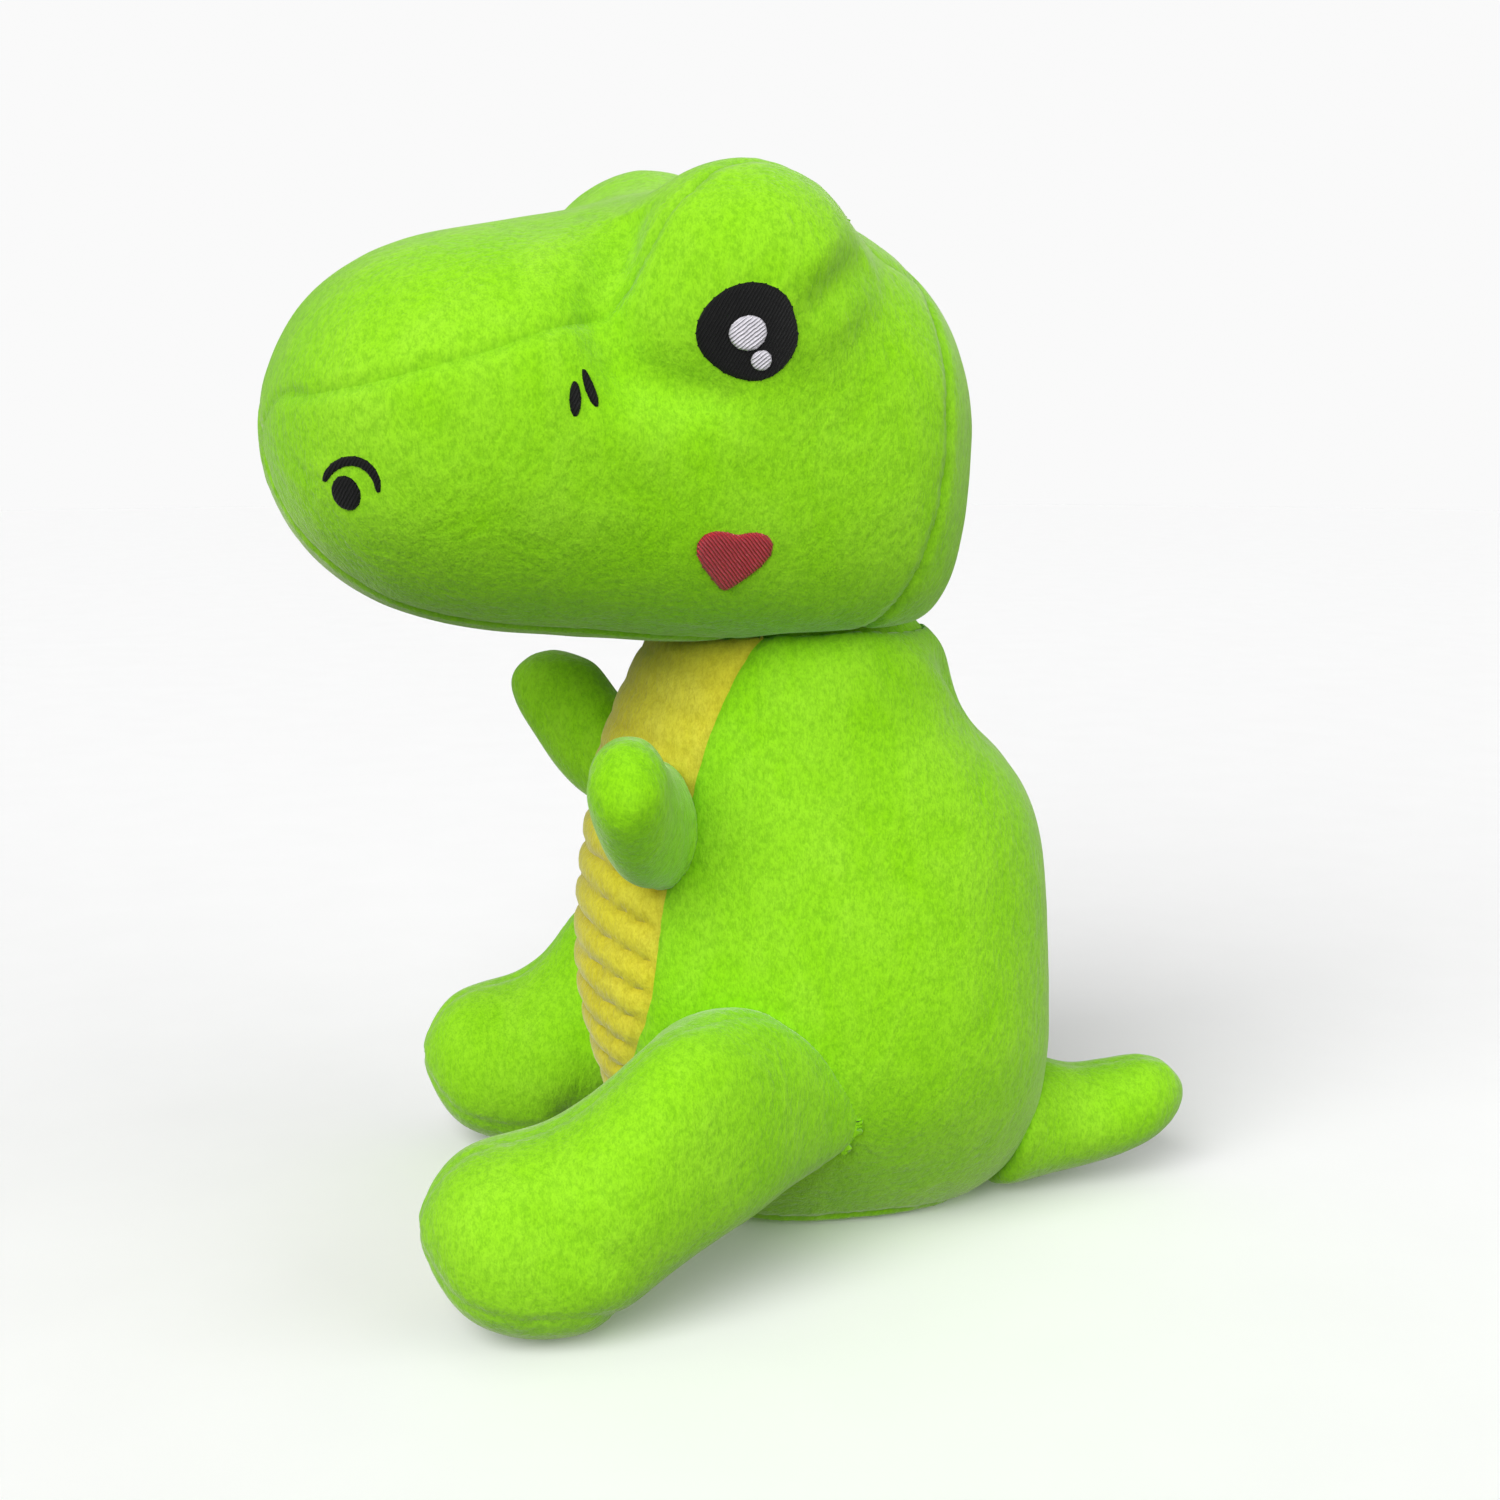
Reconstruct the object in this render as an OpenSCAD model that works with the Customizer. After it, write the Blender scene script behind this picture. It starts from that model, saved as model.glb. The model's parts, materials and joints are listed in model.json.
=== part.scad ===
// Stuffed sitting dinosaur, millimetres. +Z is up, the toy faces -Y and its left side is +X.
// The origin is on the floor at the middle of the toy's outline.

/* [Fabric] */
// thickness of the plush fabric with its pile
fabric_t = 2.0; // [1.6:0.1:2.4]
// thickness of the embroidery
thread_t = 1.0; // [0.6:0.1:1.4]

/* [Head] */
// widest part of the head, cheek to cheek
head_w = 114; // [106:1:118]
// how far the snout reaches in front of the neck
snout_reach = 126; // [116:1:132]
// radius of the eye lobes
eye_lobe_r = 27.5; // [24:0.5:28]

/* [Face] */
// diameter of the black eye disc
eye_d = 20.5; // [17:0.5:22]
// width of the cheek heart
heart_w = 17.5; // [14:0.5:20]
// height of the nostril oval
nostril_h = 8; // [6:0.5:9]

/* [Body] */
// widest part of the body
body_w = 96; // [90:1:98]

/* [Limbs] */
// thickness of the arms
arm_d = 23; // [20:0.5:25]
// length of the tail behind the body
tail_len = 40; // [32:1:44]
// width of the foot
foot_w = 42; // [38:1:44]

/* [Hidden] */

// colours
plush_green = [0.55, 0.86, 0.14];
belly_yellow = [0.90, 0.88, 0.34];
fill_white = [0.93, 0.93, 0.90];
thread_black = [0.06, 0.06, 0.07];
thread_silver = [0.82, 0.82, 0.86];
thread_red = [0.72, 0.12, 0.25];
thread_green = [0.42, 0.72, 0.12];

// clearances
fill_gap = 0.1;        // between fabric and stuffing
stitch_gap = 0.35;     // embroidery stands this far off the curved fabric
joint_gap = 0.5;       // between two parts that move against each other

// the neck: a ball joint whose centre is pivot_z above the floor
neck_y = 15;
neck_rim_z = 150;
neck_ball_r = 44;
neck_rim_r = 35;
pivot_z = neck_rim_z - sqrt(pow(neck_ball_r, 2) - pow(neck_rim_r, 2));
socket_gap = 1.0;      // the head's facets cut inside its round socket

// ---------- small functions ----------
function lerp(a, b, t) = a + (b - a) * t;
function clamp01(t) = max(0, min(1, t));
function unit(v) = v / norm(v);
function ease(t) = t * t * (3 - 2 * t);
function sgn_pow(v, p) = sign(v) * pow(abs(v), p);

// smooth larger of two lengths, rounded over k
function soft_max(a, b, k) =
    let(h = max(k - abs(a - b), 0) / k)
    max(a, b) + h * h * k / 4;

// index of the table row at or before key s
function row_of(tab, s, i = 0) =
    i >= len(tab) - 2 || s < tab[i + 1][0] ? i : row_of(tab, s, i + 1);

// slope of column k at row i of a table, from its neighbours
function slope_at(tab, i, k) =
    let(a = max(i - 1, 0), b = min(i + 1, len(tab) - 1))
    (tab[b][k] - tab[a][k]) / (tab[b][0] - tab[a][0]);

// smooth value of column k of a table at key s
function look(tab, s, k = 1) =
    let(i = row_of(tab, s),
        d = tab[i + 1][0] - tab[i][0],
        t = clamp01((s - tab[i][0]) / d),
        t2 = t * t,
        t3 = t2 * t)
    (2 * t3 - 3 * t2 + 1) * tab[i][k] + (t3 - 2 * t2 + t) * d * slope_at(tab, i, k)
    + (3 * t2 - 2 * t3) * tab[i + 1][k] + (t3 - t2) * d * slope_at(tab, i + 1, k);

// rounded end: 0 at the tip, 1 from t = 1 on
function round_end(t, p) = pow(1 - pow(1 - clamp01(t), p), 1 / p);

// distance to a superellipse with half axes a and b in the direction at angle q
function oval_r(a, b, n, q) =
    pow(pow(abs(cos(q)) / a, n) + pow(abs(sin(q)) / b, n), -1 / n);

// ---------- meshes made of a grid of points ----------
// a row of the grid with pole true is one point
function vid(nc, base, pole, i, j) = base + i * nc + (pole ? 0 : j);

function sheet_faces(nr, nc, base, p0, p1, out) = [
    for (i = [0 : nr - 2], j = [0 : nc - 2])
        let(a0 = p0 && i == 0,
            b1 = p1 && i == nr - 2,
            a = vid(nc, base, a0, i, j),
            b = vid(nc, base, a0, i, j + 1),
            c = vid(nc, base, b1, i + 1, j + 1),
            d = vid(nc, base, b1, i + 1, j))
        each concat(
            a0 ? [] : [out ? [a, b, c] : [c, b, a]],
            b1 ? [] : [out ? [a, c, d] : [d, c, a]])
];

function wall_faces(a, b, c, d) = [[a, b, c], [a, c, d]];

// one fabric panel: outer grid, inner grid, and the walls round its edge
module panel(outer, inner, p0 = false, p1 = false, flip = false) {
    nr = len(outer);
    nc = len(outer[0]);
    n = nr * nc;
    side_a = [for (i = [0 : nr - 2]) each wall_faces(
        vid(nc, 0, p1 && i == nr - 2, i + 1, 0), vid(nc, n, p1 && i == nr - 2, i + 1, 0),
        vid(nc, n, p0 && i == 0, i, 0), vid(nc, 0, p0 && i == 0, i, 0))];
    side_b = [for (i = [0 : nr - 2]) each wall_faces(
        vid(nc, n, p0 && i == 0, i, nc - 1), vid(nc, n, p1 && i == nr - 2, i + 1, nc - 1),
        vid(nc, 0, p1 && i == nr - 2, i + 1, nc - 1), vid(nc, 0, p0 && i == 0, i, nc - 1))];
    end_a = p0 ? [] : [for (j = [0 : nc - 2]) each wall_faces(j, n + j, n + j + 1, j + 1)];
    last = (nr - 1) * nc;
    end_b = p1 ? [] : [for (j = [0 : nc - 2]) each wall_faces(
        n + last + j + 1, n + last + j, last + j, last + j + 1)];
    faces = concat(sheet_faces(nr, nc, 0, p0, p1, true), sheet_faces(nr, nc, n, p0, p1, false),
        side_a, side_b, end_a, end_b);
    points = concat([for (r = outer) each r], [for (r = inner) each r]);
    polyhedron(points, flip ? [for (f = faces) [f[2], f[1], f[0]]] : faces);
}

// a closed body: rings that wrap round, with a point at each end
module stuffing(rings, tip0, tip1, flip = false) {
    nr = len(rings);
    nc = len(rings[0]);
    points = concat([tip0, tip1], [for (r = rings) each r]);
    caps = [for (j = [0 : nc - 1]) each [
        [0, 2 + (j + 1) % nc, 2 + j],
        [1, 2 + (nr - 1) * nc + j, 2 + (nr - 1) * nc + (j + 1) % nc]]];
    body = [for (i = [0 : nr - 2], j = [0 : nc - 1])
        let(a = 2 + i * nc + j,
            b = 2 + i * nc + (j + 1) % nc)
        each [[a, b, b + nc], [a, b + nc, a + nc]]];
    faces = concat(caps, body);
    polyhedron(points, flip ? [for (f = faces) [f[2], f[1], f[0]]] : faces);
}

module left_or_right(side) {
    if (side > 0) children();
    else mirror([1, 0, 0]) children();
}

// the head sits a little turned and tipped on the neck, in degrees
head_turned = 9;
head_tipped = 4;

// the whole toy is drawn about the neck and then moved so that the origin is mid outline
nose_y = neck_y - snout_reach / cos(head_turned);
tail_root_y = 82;
tail_tip_y = tail_root_y + 3 + tail_len;
shift_y = -(neck_y - snout_reach + tail_tip_y) / 2;
module placed() {
    translate([0, shift_y, 0]) children();
}

// ---------- head ----------
module on_neck() {
    placed() translate([0, neck_y, pivot_z]) rotate([0, head_tipped, head_turned])
        translate([0, -neck_y, -pivot_z]) children();
}

head_back_y = 52.5;
// y, centre height, half width, top, bottom
HEAD = [
    [-111, 200, 43, 240, 163.5],
    [-90, 203, 46, 241, 162],
    [-70, 203, 50, 245, 157],
    [-45, 203, 53, 249.5, 153.5],
    [-20, 202, 56, 255, 152],
    [5, 201, 57, 254.5, 151],
    [30, 200, 53, 245, 150],
    [58, 197, 43, 236, 149.5]
];
// y, angle of the seam between the side and the top panel
TOP_SEAM = [
    [-111, 56], [-109, 34], [-104, 17], [-96, 13], [-80, 16], [-63, 22], [-46, 30],
    [-32, 46], [-16, 57], [2, 56], [20, 49], [58, 46]
];
head_front_round = 30;
head_back_round = 30;
chin_angle = -62;
lobe_y = -12.5;
lobe_x = 33;
lobe_z = 234;
lobe_blend = 8;

// the snout is stretched in front of the eyes when snout_reach changes
function snout_y(y) = y < -20 ? lerp(nose_y, -20, (y + 111) / 91) : y;

// distance of the head's skin from its axis at station y (table units), angle q, inset t
function head_r(y, q, t) =
    let(front = (y + 111) / head_front_round,
        back = (head_back_y - y) / head_back_round,
        zc = look(HEAD, y, 1),
        half = (look(HEAD, y, 2) * head_w / 114 - t) * round_end(front, 2.2) * round_end(back, 2.2),
        up = (look(HEAD, y, 3) - zc - t) * round_end(front * 0.9, 1.9) * round_end(back, 2),
        down = (zc - look(HEAD, y, 4) - t) * round_end(front, 2) * round_end(back, 3),
        square = q > 0 ? 2.3 : lerp(2.3, 2.8, clamp01((y + 40) / 40)),
        base = oval_r(half, q > 0 ? up : down, square, q),
        r2 = pow(eye_lobe_r - t, 2) - pow(y - lobe_y, 2),
        ex = lobe_x * abs(cos(q)) + (lobe_z - zc) * sin(q),
        hit = ex * ex - pow(lobe_x, 2) - pow(lobe_z - zc, 2) + r2)
    r2 > 0 && hit > 0 ? soft_max(base, ex + sqrt(hit), lobe_blend) : base;

// a point of the head; the part over the neck is lifted clear of the neck ball
function head_pt(y, q, t) =
    let(r = head_r(y, q, t),
        zc = look(HEAD, y, 1),
        x = r * cos(q),
        z = zc + r * sin(q),
        py = snout_y(lerp(-111 + t, head_back_y - t, (y + 111) / (head_back_y + 111))),
        d2 = pow(x, 2) + pow(py - neck_y, 2),
        ball = neck_ball_r + socket_gap + t,
        floor_z = d2 < ball * ball ? pivot_z + sqrt(ball * ball - d2) : 0)
    [x, py, q < 0 ? max(z, floor_z) : z];

// columns round one side of the head: chin, side, top
CHIN_COLS = 5;
SIDE_COLS = 11;
TOP_COLS = 4;
HALF_COLS = CHIN_COLS + SIDE_COLS + TOP_COLS;

function head_angle(y, j) =
    let(seam = look(TOP_SEAM, y))
    j <= CHIN_COLS ? lerp(-90, chin_angle, j / CHIN_COLS)
    : j <= CHIN_COLS + SIDE_COLS ? lerp(chin_angle, seam, (j - CHIN_COLS) / SIDE_COLS)
    : lerp(seam, 90, (j - CHIN_COLS - SIDE_COLS) / TOP_COLS);

// the back panel's seam runs forward as it goes down to the neck
back_seam_top_y = 31;
back_seam_low_y = 12;
function back_seam_y(q) = q > 0 ? back_seam_top_y
    : lerp(back_seam_top_y, back_seam_low_y, ease(clamp01(-q / 80)));

// rows along the head: front rows, then back rows
FRONT_ROWS = [
    0.012, 0.05, 0.11, 0.18, 0.25, 0.32, 0.39, 0.45, 0.5, 0.545,
    0.59, 0.635, 0.68, 0.725, 0.77, 0.815, 0.86, 0.905, 0.95, 1
];
BACK_ROWS = [0.25, 0.5, 0.72, 0.88, 0.97];

function head_row_y(f, q) =
    f <= 1 ? lerp(-111, back_seam_y(q), f) : lerp(back_seam_y(q), head_back_y, f - 1);

HEAD_ROWS = concat(FRONT_ROWS, [for (b = BACK_ROWS) 1 + b]);

// the angle depends on y and y on the angle, so the angle is taken at the row's middle
function head_grid_pt(f, j, t) =
    let(q0 = head_angle(lerp(-111, back_seam_top_y, min(f, 1)), j),
        y = head_row_y(f, q0))
    head_pt(y, q0, t);

function head_block(rows, j0, j1, t) = [for (f = rows) [for (j = [j0 : j1]) head_grid_pt(f, j, t)]];
function head_nose(t) = [0, snout_y(-111 + t), look(HEAD, -111, 1)];
function head_tail_pt(t) = [0, head_back_y - t, look(HEAD, head_back_y, 1)];
function with_nose(grid, t) = concat([[for (p = grid[0]) head_nose(t)]], grid);
function with_back(grid, t) = concat(grid, [[for (p = grid[0]) head_tail_pt(t)]]);

// both halves of a symmetric stretch of columns, left to right through the middle
function mirrored_row(row) = [for (p = row) [-p[0], p[1], p[2]]];
function reversed(row) = [for (i = [len(row) - 1 : -1 : 0]) row[i]];
function tail_of(row) = [for (i = [1 : len(row) - 1]) row[i]];
function both_low(grid) = [for (r = grid) concat(mirrored_row(reversed(r)), tail_of(r))];
function both_high(grid) = [for (r = grid) concat(r, tail_of(mirrored_row(reversed(r))))];
function full_ring(grid) = [for (r = grid)
    let(m = mirrored_row(reversed(r)))
    concat(r, [for (i = [1 : len(m) - 2]) m[i]])];

// a left grid as it is, or turned into its right twin with its columns still in ring order
function sided(grid, side) = side > 0 ? grid : [for (r = grid) mirrored_row(reversed(r))];

module head_side(side) {
    j0 = CHIN_COLS;
    j1 = CHIN_COLS + SIDE_COLS;
    color(plush_green) on_neck()
        panel(with_nose(sided(head_block(FRONT_ROWS, j0, j1, 0), side), 0),
            with_nose(sided(head_block(FRONT_ROWS, j0, j1, fabric_t), side), fabric_t), p0 = true);
}

module head_top_panel() {
    j0 = CHIN_COLS + SIDE_COLS;
    color(plush_green) on_neck()
        panel(with_nose(both_high(head_block(FRONT_ROWS, j0, HALF_COLS, 0)), 0),
            with_nose(both_high(head_block(FRONT_ROWS, j0, HALF_COLS, fabric_t)), fabric_t), p0 = true);
}

module chin_panel() {
    color(plush_green) on_neck()
        panel(with_nose(both_low(head_block(FRONT_ROWS, 0, CHIN_COLS, 0)), 0),
            with_nose(both_low(head_block(FRONT_ROWS, 0, CHIN_COLS, fabric_t)), fabric_t), p0 = true);
}

// the back panel wraps all the way round, closed at the back of the head
BACK_PANEL_ROWS = concat([1], [for (b = BACK_ROWS) 1 + b]);
function closed_row(row) = concat(row, [row[0]]);
module head_back_panel() {
    outer = full_ring(head_block(BACK_PANEL_ROWS, 0, HALF_COLS, 0));
    inner = full_ring(head_block(BACK_PANEL_ROWS, 0, HALF_COLS, fabric_t));
    color(plush_green) on_neck() cup(outer, inner, head_tail_pt(0), head_tail_pt(fabric_t));
}

// a cup: rings that wrap round, closed at the far end by a point, open at the near end
module cup(outer, inner, tip_o, tip_i, flip = false) {
    nr = len(outer);
    nc = len(outer[0]);
    n = nr * nc;
    points = concat([for (r = outer) each r], [for (r = inner) each r], [tip_o, tip_i]);
    walls = [for (j = [0 : nc - 1]) each wall_faces(j, n + j, n + (j + 1) % nc, (j + 1) % nc)];
    skin = [for (i = [0 : nr - 2], j = [0 : nc - 1])
        let(a = i * nc + j,
            b = i * nc + (j + 1) % nc)
        each [[a, b, b + nc], [a, b + nc, a + nc],
            [n + b + nc, n + b, n + a], [n + a + nc, n + b + nc, n + a]]];
    last = (nr - 1) * nc;
    tips = [for (j = [0 : nc - 1]) each [
        [2 * n, last + j, last + (j + 1) % nc],
        [2 * n + 1, n + last + (j + 1) % nc, n + last + j]]];
    faces = concat(walls, skin, tips);
    polyhedron(points, flip ? [for (f = faces) [f[2], f[1], f[0]]] : faces);
}

module head_fill() {
    t = fabric_t + fill_gap;
    color(fill_white) on_neck()
        stuffing(full_ring(head_block(HEAD_ROWS, 0, HALF_COLS, t)), head_nose(t), head_tail_pt(t));
}

// ---------- face embroidery, on the head's skin ----------
// x of the head's skin at a given y and height, found by a few steps
function skin_x(y, z, x = 50, k = 7) =
    let(q = atan2(z - look(HEAD, y, 1), x),
        nx = head_r(y, q, 0) * cos(q))
    k == 0 ? nx : skin_x(y, z, lerp(x, nx, 0.8), k - 1);

function skin_pt(y, z) = [skin_x(y, z), snout_y(y), z];
function skin_normal(y, z) =
    let(e = 0.6)
    unit(cross(skin_pt(y + e, z) - skin_pt(y - e, z), skin_pt(y, z + e) - skin_pt(y, z - e)));
function stitched(y, z, off) = skin_pt(y, z) + off * skin_normal(y, z);

// an embroidered patch: outline(a) gives [dy, dz] at angle a round the middle (cy, cz)
module patch(cy, cz, outline, rings = 2, lift = 0) {
    lo = stitch_gap + lift;
    hi = lo + thread_t;
    edge_drop = 0.3 * thread_t;
    outer = [for (k = [rings : -1 : 1])
        patch_ring(cy, cz, outline, k / rings, hi - (k == rings ? edge_drop : 0))];
    inner = [for (k = [rings : -1 : 1]) patch_ring(cy, cz, outline, k / rings, lo)];
    cup(outer, inner, stitched(cy, cz, hi), stitched(cy, cz, lo), flip = true);
}

function patch_ring(cy, cz, outline, share, off) = [for (p = outline)
    stitched(cy + share * p[0], cz + share * p[1], off)];

function oval(ry, rz, n, tilt = 0) = [for (i = [0 : n - 1])
    let(a = 360 * i / n,
        u = ry * cos(a),
        v = rz * sin(a))
    [u * cos(tilt) - v * sin(tilt), u * sin(tilt) + v * cos(tilt)]];

eye_lift = 1.1;          // the disc spans the crease under its lobe
eye_y = -19.5;
eye_z = 225;
module eye_disc(side) {
    color(thread_black) on_neck() left_or_right(side)
        patch(eye_y, eye_z, oval(eye_d / 2, eye_d / 2, 24), 3, eye_lift);
}

highlight_lift = eye_lift + thread_t + 0.35;
module eye_highlights(side) {
    big = eye_d * 0.18;
    small = eye_d * 0.11;
    color(thread_silver) on_neck() left_or_right(side) {
        patch(eye_y - 0.03 * eye_d, eye_z + 0.01 * eye_d, oval(big, big, 12), 1, highlight_lift);
        patch(eye_y + 0.12 * eye_d, eye_z - 0.25 * eye_d, oval(small, small, 10), 1, highlight_lift);
    }
}

module brow_marks(side) {
    color(thread_black) on_neck() left_or_right(side) {
        patch(-54.3, 211, oval(1.4, 4.0, 10, -4), 1);
        patch(-50.7, 213.5, oval(1.4, 4.4, 10, 12), 1);
    }
}

nostril_y = -98.5;
nostril_z = 190.5;
module nostril(side) {
    color(thread_black) on_neck() left_or_right(side)
        patch(nostril_y, nostril_z, oval(nostril_h * 0.32, nostril_h / 2, 14, 14), 1);
}

// the arc is a tapered band swept over the nostril
module nostril_arc(side) {
    n = 9;
    spine = [for (i = [0 : n - 1])
        let(share = i / (n - 1),
            a = lerp(172, -6, share))
        [nostril_y + 0.9 + 4.8 * cos(a), nostril_z + 1 + 6 * sin(a), 0.45 + 0.75 * sin(180 * share)]];
    edge_a = [for (i = [0 : n - 1]) band_edge(spine, i, 1)];
    edge_b = [for (i = [0 : n - 1]) band_edge(spine, i, -1)];
    outer = [for (e = [edge_b, edge_a]) [for (p = e) stitched(p[0], p[1], stitch_gap + thread_t)]];
    inner = [for (e = [edge_b, edge_a]) [for (p = e) stitched(p[0], p[1], stitch_gap)]];
    color(thread_black) on_neck() left_or_right(side) panel(outer, inner, flip = true);
}
function band_edge(spine, i, s) =
    let(a = spine[max(i - 1, 0)],
        b = spine[min(i + 1, len(spine) - 1)],
        d = unit([b[0] - a[0], b[1] - a[1]]))
    [spine[i][0] - s * d[1] * spine[i][2], spine[i][1] + s * d[0] * spine[i][2]];

// the right half of a heart of width 2, from the notch down to the tip
HEART = [
    [0, 0.46], [0.2, 0.54], [0.5, 0.58], [0.8, 0.5], [0.97, 0.26],
    [0.95, -0.04], [0.75, -0.36], [0.42, -0.7], [0.14, -0.97]
];
module cheek_heart(side) {
    w = heart_w / 2;
    tilt = -3;
    left = [for (i = [len(HEART) - 1 : -1 : 1]) [-HEART[i][0], HEART[i][1]]];
    loop = concat(HEART, [[0, -1.04]], left);
    shape = [for (i = [len(loop) - 1 : -1 : 0])
        let(p = loop[i] * w)
        [p[0] * cos(tilt) - p[1] * sin(tilt), p[0] * sin(tilt) + p[1] * cos(tilt)]];
    color(thread_red) on_neck() left_or_right(side) patch(-20, 178.4, shape, 2);
}

// ---------- body ----------
// height, half width, front, back
BODY = [
    [0, 15, -2, 58],
    [2, 18, -7, 66],
    [8, 23.5, -16, 75],
    [18, 32, -25, 81],
    [30, 40, -31, 83],
    [45, 46.5, -36, 83.5],
    [60, 48, -39.5, 83],
    [75, 47, -40, 82],
    [95, 44.5, -38, 81],
    [110, 42.5, -36, 76.5],
    [120, 41.5, -34, 69.5],
    [130, 41, -31, 58.5],
    [141, 39.8, -24.8, 54],
    [149.5, 35, -20, 50]
];
BODY_HEIGHTS = [0, 2, 8, 16, 26, 38, 50, 62, 74, 86, 98, 109, 118, 126, 134, 141, 145.5, 149.5];
// height, half angle of the belly panel from straight ahead
BELLY_SEAM = [
    [0, 12], [30, 14], [45, 20], [55, 28], [67, 35], [92, 36],
    [108, 40], [124, 48], [135, 55], [143, 60], [150, 66]
];
BELLY_COLS = 5;
FLANK_COLS = 11;
BODY_HALF = BELLY_COLS + FLANK_COLS;
body_top_z = neck_rim_z - joint_gap;

// the shoulder under the head is part of the neck ball's sphere, so it is round there
function body_pt(z, a, t) =
    let(mid = (look(BODY, z, 2) + look(BODY, z, 3)) / 2,
        depth = (look(BODY, z, 3) - look(BODY, z, 2)) / 2 - t,
        half = look(BODY, z, 1) * lerp(body_w / 96, 1, clamp01((z - 110) / 30)) - t,
        n = lerp(2.35, 2, clamp01((z - 110) / 30)),
        r = oval_r(half, depth, n, a - 90),
        p = [r * sin(a), mid - r * cos(a)],
        lip = sqrt(max(1, pow(neck_ball_r - joint_gap - t, 2) - pow(z - pivot_z, 2))),
        d = norm([p[0], p[1] - neck_y]),
        k = z > 138 && d > lip ? lip / d : 1)
    [p[0] * k, neck_y + (p[1] - neck_y) * k, min(z, body_top_z)];

function body_angle(z, j) =
    let(seam = look(BELLY_SEAM, z))
    j <= BELLY_COLS ? lerp(0, seam, j / BELLY_COLS) : lerp(seam, 180, (j - BELLY_COLS) / FLANK_COLS);

// heights run from the base seam up; the inner skin starts fabric_t higher
function body_block(zs, j0, j1, t) = [for (z = zs)
    [for (j = [j0 : j1]) body_lift(body_pt(z, body_angle(z, j), t), z, t)]];
function body_lift(p, z, t) = [p[0], p[1], z < 8 ? lerp(t, 0, z / 8) + p[2] : p[2]];

base_seam_z = 2;
base_mid_y = 26;
SIDE_HEIGHTS = [for (z = BODY_HEIGHTS) if (z >= base_seam_z) z];

module body_side(side) {
    color(plush_green) placed()
        panel(sided(body_block(SIDE_HEIGHTS, BELLY_COLS, BODY_HALF, 0), side),
            sided(body_block(SIDE_HEIGHTS, BELLY_COLS, BODY_HALF, fabric_t), side), flip = true);
}

module belly_panel() {
    color(belly_yellow) placed()
        panel(both_low(body_block(SIDE_HEIGHTS, 0, BELLY_COLS, 0)),
            both_low(body_block(SIDE_HEIGHTS, 0, BELLY_COLS, fabric_t)), flip = true);
}

module base_panel() {
    hs = [base_seam_z, 0];
    outer = full_ring(body_block(hs, 0, BODY_HALF, 0));
    inner = full_ring(body_block(hs, 0, BODY_HALF, fabric_t));
    color(plush_green) placed() cup(outer, inner, [0, base_mid_y, 0], [0, base_mid_y, fabric_t]);
}

module body_fill() {
    t = fabric_t + fill_gap;
    color(fill_white) placed()
        stuffing(full_ring(body_block(BODY_HEIGHTS, 0, BODY_HALF, t)),
            [0, base_mid_y, t], [0, neck_y, body_top_z], flip = true);
}

// ladder stitches that close the turning opening low in the back seam
module closing_stitches() {
    r = 0.45;
    color(thread_green) placed()
        for (z = [50 : 5 : 75])
            translate([-2.6, look(BODY, z, 3) + r + 0.25, z])
                rotate([0, 90, 0])
                    cylinder(h = 5.2, r = r, $fn = 16);
}

// ---------- neck ----------
module neck_profile(r_ball, z0) {
    n = 10;
    rim = acos((z0 - pivot_z) / r_ball);
    arc = [for (i = [0 : n]) rim * (1 - i / n)];
    polygon(concat([[0, z0]], [for (a = arc) [r_ball * sin(a), pivot_z + r_ball * cos(a)]]));
}

module neck_skin() {
    color(plush_green) placed() translate([0, neck_y, 0])
        rotate_extrude($fn = 72)
            difference() {
                neck_profile(neck_ball_r, neck_rim_z);
                translate([0, -1]) neck_profile(neck_ball_r - fabric_t, neck_rim_z - 1);
            }
}

module neck_fill() {
    color(fill_white) placed() translate([0, neck_y, 0])
        rotate_extrude($fn = 72)
            neck_profile(neck_ball_r - fabric_t - fill_gap - 1, neck_rim_z);
}

// ---------- arms: rings round a bent path, with a shallow cone at the root ----------
arm_turn = 39;         // the root faces this far out from straight ahead's side
// along the path: centre x, y, z, half width, half height
ARM = [
    [0, 32.5, -26, 108.5, 0.80, 1.05],
    [0.2, 37, -30, 110, 0.90, 1.12],
    [0.4, 42, -34, 113, 0.93, 1.06],
    [0.6, 47.5, -38, 118, 0.96, 1.0],
    [0.8, 52.5, -42, 124, 1.0, 1.0],
    [1, 56, -44.5, 130, 0.9, 0.9]
];
// the two arms lean a little differently: swing outward and lift, in degrees
ARM_LEAN_LEFT = [17, -4];
ARM_LEAN_RIGHT = [0, 17];
function lean_of(side) = side > 0 ? ARM_LEAN_LEFT : ARM_LEAN_RIGHT;
function leaned(p, lean) =
    let(w = p - arm_pivot,
        across = unit(cross([0, 0, 1], arm_root_out)),
        up = [0, 0, 1],
        out = w * arm_root_out,
        lift = w * up,
        out2 = out * cos(lean[1]) - lift * sin(lean[1]),
        lift2 = out * sin(lean[1]) + lift * cos(lean[1]),
        v = arm_root_out * out2 + up * lift2 + across * (w * across))
    arm_pivot + [v[0] * cos(lean[0]) - v[1] * sin(lean[0]), v[0] * sin(lean[0]) + v[1] * cos(lean[0]), v[2]];
function arm_mid(s, lean) = leaned([look(ARM, s, 1), look(ARM, s, 2), look(ARM, s, 3)], lean);
function arm_dir(s, lean) = unit(arm_mid(min(s + 0.05, 1), lean) - arm_mid(max(s - 0.05, 0), lean));
ARM_COLS = 16;
ARM_ROWS = [0, 0.16, 0.32, 0.48, 0.64, 0.8, 0.92];
arm_root_out = unit([cos(arm_turn), -sin(arm_turn), 0]);
arm_pivot = [30.6, -24.4, 108];
arm_swing = 17;

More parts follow.
